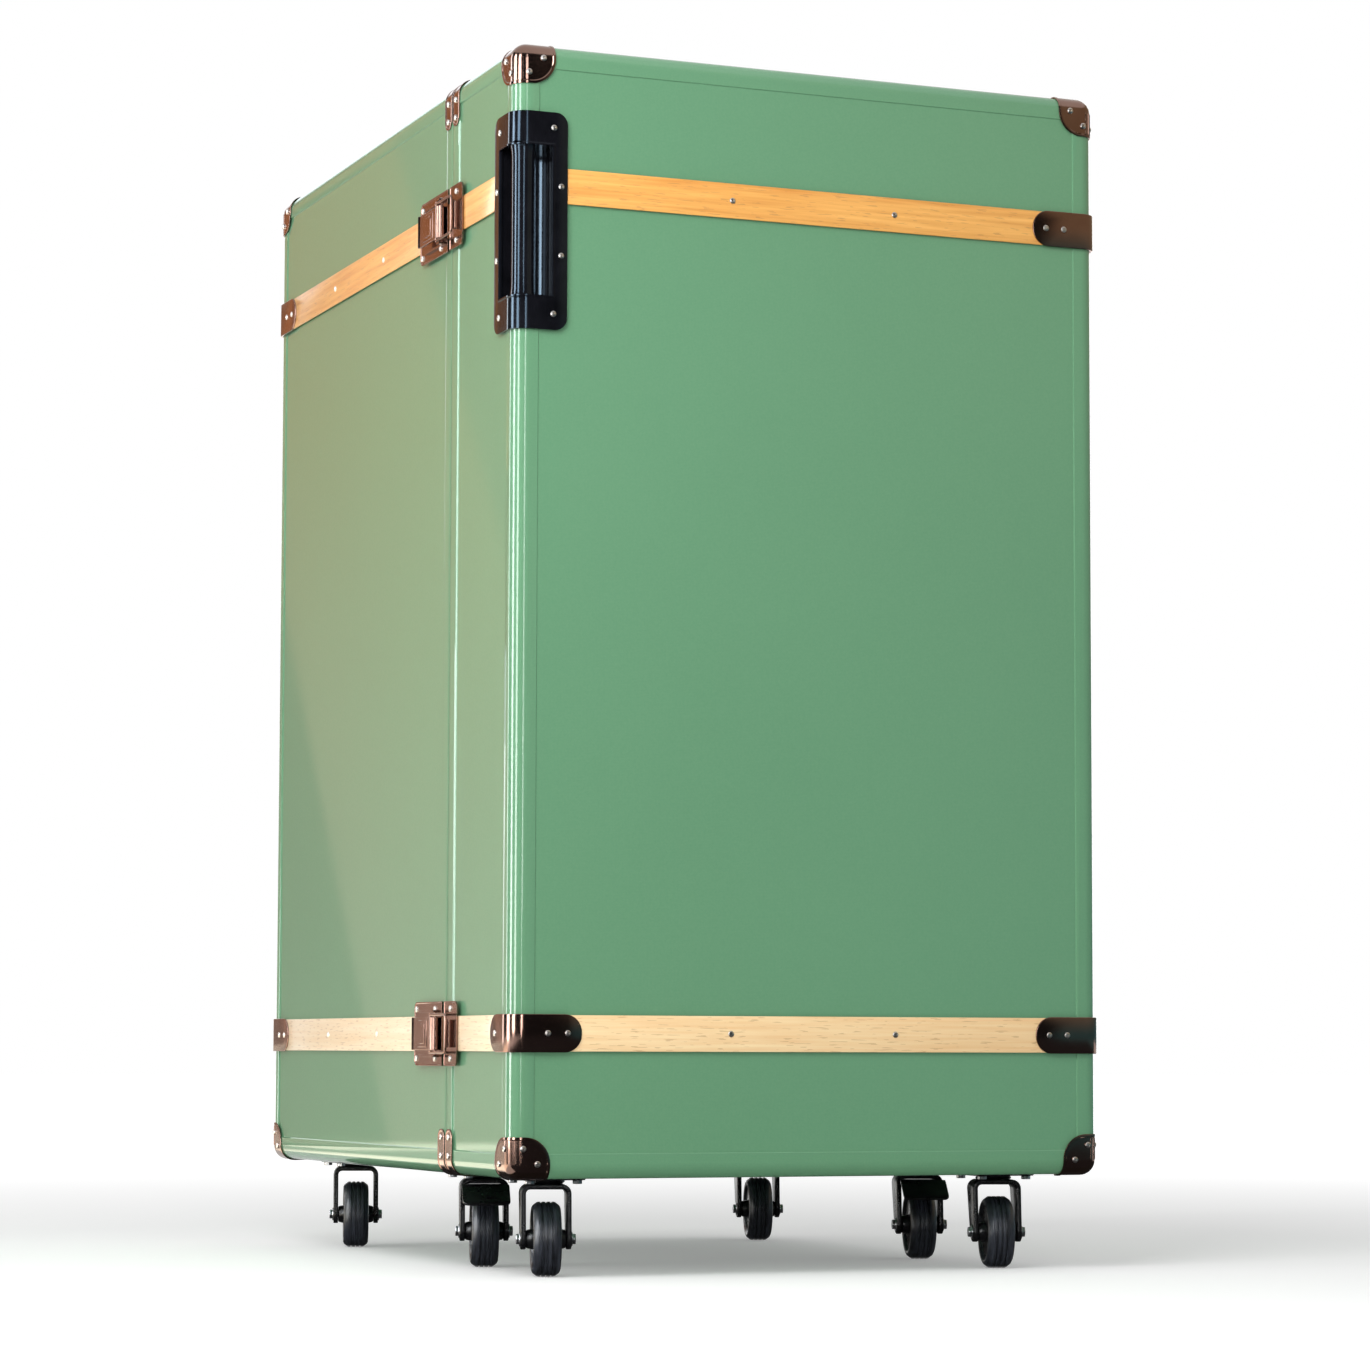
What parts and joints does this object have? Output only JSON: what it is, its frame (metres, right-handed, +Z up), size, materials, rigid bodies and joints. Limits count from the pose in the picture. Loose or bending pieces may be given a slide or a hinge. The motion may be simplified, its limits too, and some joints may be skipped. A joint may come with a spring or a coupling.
{
  "type": "wine trunk",
  "caption": "Tall upright wine trunk on swivel casters, with a hinged front door, bottle bays, wooden slats, metal corners, draw latches and a recessed corner handle.",
  "frame": {"origin": "on the floor, under the middle of the box", "axes": "+Z up, -Y towards the door's front, +X towards the hinge side"},
  "size_m": [0.7174, 0.9, 1.3068],
  "materials": {
    "covering": "glossy fine-grained green covering",
    "oak": "satin varnished light wood",
    "bronze": "polished dark bronze plating",
    "handle_black": "satin black",
    "black_steel": "semi-gloss black",
    "rubber": "matte black",
    "walnut": "satin dark wood"
  },
  "bodies": {
    "main_case": {"bottle_rack": "walnut", "caster_plate_main_left": "black_steel", "caster_plate_main_right": "black_steel", "caster_plate_rear_left": "black_steel", "caster_plate_rear_right": "black_steel", "hinge_leaf_main": "bronze", "latch_plate_lower": "bronze", "latch_plate_upper": "bronze", "main_corner_left_bottom": "bronze", "main_corner_left_top": "bronze", "main_corner_right_bottom": "bronze", "main_corner_right_top": "bronze", "main_rim": "bronze", "main_shell": "covering", "main_slat_cap_left_lower": "bronze", "main_slat_cap_left_upper": "bronze", "main_slat_cap_right_lower": "bronze", "main_slat_cap_right_upper": "bronze", "main_slat_lower": "oak", "main_slat_upper": "oak", "main_split_strap_bottom": "bronze", "main_split_strap_top": "bronze"},
    "door": {"caster_plate_door_left": "black_steel", "caster_plate_door_right": "black_steel", "door_corner_left_bottom": "bronze", "door_corner_left_top": "bronze", "door_corner_right_bottom": "bronze", "door_corner_right_top": "bronze", "door_rack": "walnut", "door_shell": "covering", "door_slat_cap_left_lower": "bronze", "door_slat_cap_right_lower": "bronze", "door_slat_cap_right_upper": "bronze", "door_slat_lower": "oak", "door_slat_upper": "oak", "door_slat_upper_left": "oak", "door_split_strap_bottom": "bronze", "door_split_strap_top": "bronze", "handle": "handle_black", "hinge_leaf_door": "bronze", "latch_keeper_lower": "bronze", "latch_keeper_upper": "bronze"},
    "brake_pedal_main_left": {"brake_pedal_main_left": "black_steel"},
    "brake_pedal_main_right": {"brake_pedal_main_right": "black_steel"},
    "caster_fork_door_left": {"caster_fork_door_left": "black_steel"},
    "caster_fork_door_right": {"caster_fork_door_right": "black_steel"},
    "caster_fork_main_left": {"caster_fork_main_left": "black_steel"},
    "caster_fork_main_right": {"caster_fork_main_right": "black_steel"},
    "caster_fork_rear_left": {"caster_fork_rear_left": "black_steel"},
    "caster_fork_rear_right": {"caster_fork_rear_right": "black_steel"},
    "caster_wheel_door_left": {"caster_wheel_door_left": "rubber"},
    "caster_wheel_door_right": {"caster_wheel_door_right": "rubber"},
    "caster_wheel_main_left": {"caster_wheel_main_left": "rubber"},
    "caster_wheel_main_right": {"caster_wheel_main_right": "rubber"},
    "caster_wheel_rear_left": {"caster_wheel_rear_left": "rubber"},
    "caster_wheel_rear_right": {"caster_wheel_rear_right": "rubber"},
    "latch_lever_lower": {"latch_lever_lower": "bronze"},
    "latch_lever_upper": {"latch_lever_upper": "bronze"},
    "latch_loop_lower": {"latch_loop_lower": "bronze"},
    "latch_loop_upper": {"latch_loop_upper": "bronze"}
  },
  "joints": [
    {"name": "door_swing", "type": "hinge", "parent": "main_case", "child": "door", "pos_m": [0.3527, -0.2355, 0.705], "axis": [0, 0, 1], "range_deg": [0, 170]},
    {"name": "latch_lever_upper_turn", "type": "hinge", "parent": "main_case", "child": "latch_lever_upper", "pos_m": [-0.3521, -0.223, 1.153], "axis": [0, 0, 1], "range_deg": [0, 110]},
    {"name": "latch_loop_upper_turn", "type": "hinge", "parent": "latch_lever_upper", "child": "latch_loop_upper", "pos_m": [-0.3557, -0.217, 1.153], "axis": [0, 0, 1], "range_deg": [-110, 0]},
    {"name": "latch_lever_lower_turn", "type": "hinge", "parent": "main_case", "child": "latch_lever_lower", "pos_m": [-0.3521, -0.223, 0.257], "axis": [0, 0, 1], "range_deg": [0, 110]},
    {"name": "latch_loop_lower_turn", "type": "hinge", "parent": "latch_lever_lower", "child": "latch_loop_lower", "pos_m": [-0.3557, -0.217, 0.257], "axis": [0, 0, 1], "range_deg": [-110, 0]},
    {"name": "swivel_door_left", "type": "hinge", "parent": "door", "child": "caster_fork_door_left", "pos_m": [-0.266, -0.339, 0.0974], "axis": [0, 0, 1], "continuous": true},
    {"name": "roll_door_left", "type": "hinge", "parent": "caster_fork_door_left", "child": "caster_wheel_door_left", "pos_m": [-0.27096, -0.3563, 0.03951], "axis": [0.9613, -0.2756, 0], "continuous": true},
    {"name": "swivel_door_right", "type": "hinge", "parent": "door", "child": "caster_fork_door_right", "pos_m": [0.266, -0.339, 0.0974], "axis": [0, 0, 1], "continuous": true},
    {"name": "roll_door_right", "type": "hinge", "parent": "caster_fork_door_right", "child": "caster_wheel_door_right", "pos_m": [0.26104, -0.3563, 0.03951], "axis": [0.9613, -0.2756, 0], "continuous": true},
    {"name": "swivel_main_left", "type": "hinge", "parent": "main_case", "child": "caster_fork_main_left", "pos_m": [-0.266, -0.138, 0.0974], "axis": [0, 0, 1], "continuous": true},
    {"name": "roll_main_left", "type": "hinge", "parent": "caster_fork_main_left", "child": "caster_wheel_main_left", "pos_m": [-0.27096, -0.1553, 0.03951], "axis": [0.9613, -0.2756, 0], "continuous": true},
    {"name": "brake_main_left", "type": "hinge", "parent": "caster_fork_main_left", "child": "brake_pedal_main_left", "pos_m": [-0.26986, -0.15146, 0.0899], "axis": [0.9613, -0.2756, 0], "range_deg": [0, 6]},
    {"name": "swivel_main_right", "type": "hinge", "parent": "main_case", "child": "caster_fork_main_right", "pos_m": [0.266, -0.138, 0.0974], "axis": [0, 0, 1], "continuous": true},
    {"name": "roll_main_right", "type": "hinge", "parent": "caster_fork_main_right", "child": "caster_wheel_main_right", "pos_m": [0.26104, -0.1553, 0.03951], "axis": [0.9613, -0.2756, 0], "continuous": true},
    {"name": "brake_main_right", "type": "hinge", "parent": "caster_fork_main_right", "child": "brake_pedal_main_right", "pos_m": [0.26214, -0.15146, 0.0899], "axis": [0.9613, -0.2756, 0], "range_deg": [0, 6]},
    {"name": "swivel_rear_left", "type": "hinge", "parent": "main_case", "child": "caster_fork_rear_left", "pos_m": [-0.266, 0.342, 0.0974], "axis": [0, 0, 1], "continuous": true},
    {"name": "roll_rear_left", "type": "hinge", "parent": "caster_fork_rear_left", "child": "caster_wheel_rear_left", "pos_m": [-0.27096, 0.3247, 0.03951], "axis": [0.9613, -0.2756, 0], "continuous": true},
    {"name": "swivel_rear_right", "type": "hinge", "parent": "main_case", "child": "caster_fork_rear_right", "pos_m": [0.266, 0.342, 0.0974], "axis": [0, 0, 1], "continuous": true},
    {"name": "roll_rear_right", "type": "hinge", "parent": "caster_fork_rear_right", "child": "caster_wheel_rear_right", "pos_m": [0.26104, 0.3247, 0.03951], "axis": [0.9613, -0.2756, 0], "continuous": true}
  ],
  "couplings": [
    {"joint": "latch_loop_upper_turn", "follows": "latch_lever_upper_turn", "ratio": -1},
    {"joint": "latch_loop_lower_turn", "follows": "latch_lever_lower_turn", "ratio": -1}
  ]
}
